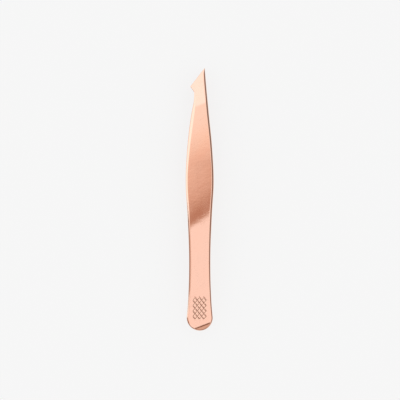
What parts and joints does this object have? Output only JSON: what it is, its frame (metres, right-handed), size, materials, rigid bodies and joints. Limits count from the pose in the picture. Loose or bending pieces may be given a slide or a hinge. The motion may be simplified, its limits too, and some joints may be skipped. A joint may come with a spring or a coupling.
{
  "type": "slant tweezers",
  "caption": "Slant-tip cosmetic tweezers of polished rose-gold steel: two sprung blades welded at a round heel, wide finger grips and a hooked slanted tip.",
  "frame": {"origin": "middle of the footprint, on the plane of the rear blade's flat grip face that the tweezers lie on", "axes": "+Y along the blades towards the tips, +Z out of the front blade's outer face, +X across the blades, away from the barb of the slanted tip"},
  "size_m": [0.0102, 0.095, 0.0108],
  "materials": {
    "rose_gold_steel": "mirror-polished rose-gold plating on stainless steel",
    "weld_steel": "fused steel inside the heel"
  },
  "bodies": {
    "heel": {"front_heel": "rose_gold_steel", "rear_heel": "rose_gold_steel", "weld_nuggets": "weld_steel"},
    "front_arm": {"front_arm": "rose_gold_steel"},
    "rear_arm": {"rear_arm": "rose_gold_steel"}
  },
  "joints": [
    {"name": "front_arm_flex", "type": "hinge", "parent": "heel", "child": "front_arm", "pos_m": [0, -0.0265, 0.00744], "axis": [-1, 0, 0], "range_deg": [0, 1.84], "stiffness_Nm_per_rad": 3},
    {"name": "rear_arm_flex", "type": "hinge", "parent": "heel", "child": "rear_arm", "pos_m": [0, -0.0265, 0.00336], "axis": [1, 0, 0], "range_deg": [0, 1.84], "stiffness_Nm_per_rad": 3}
  ]
}
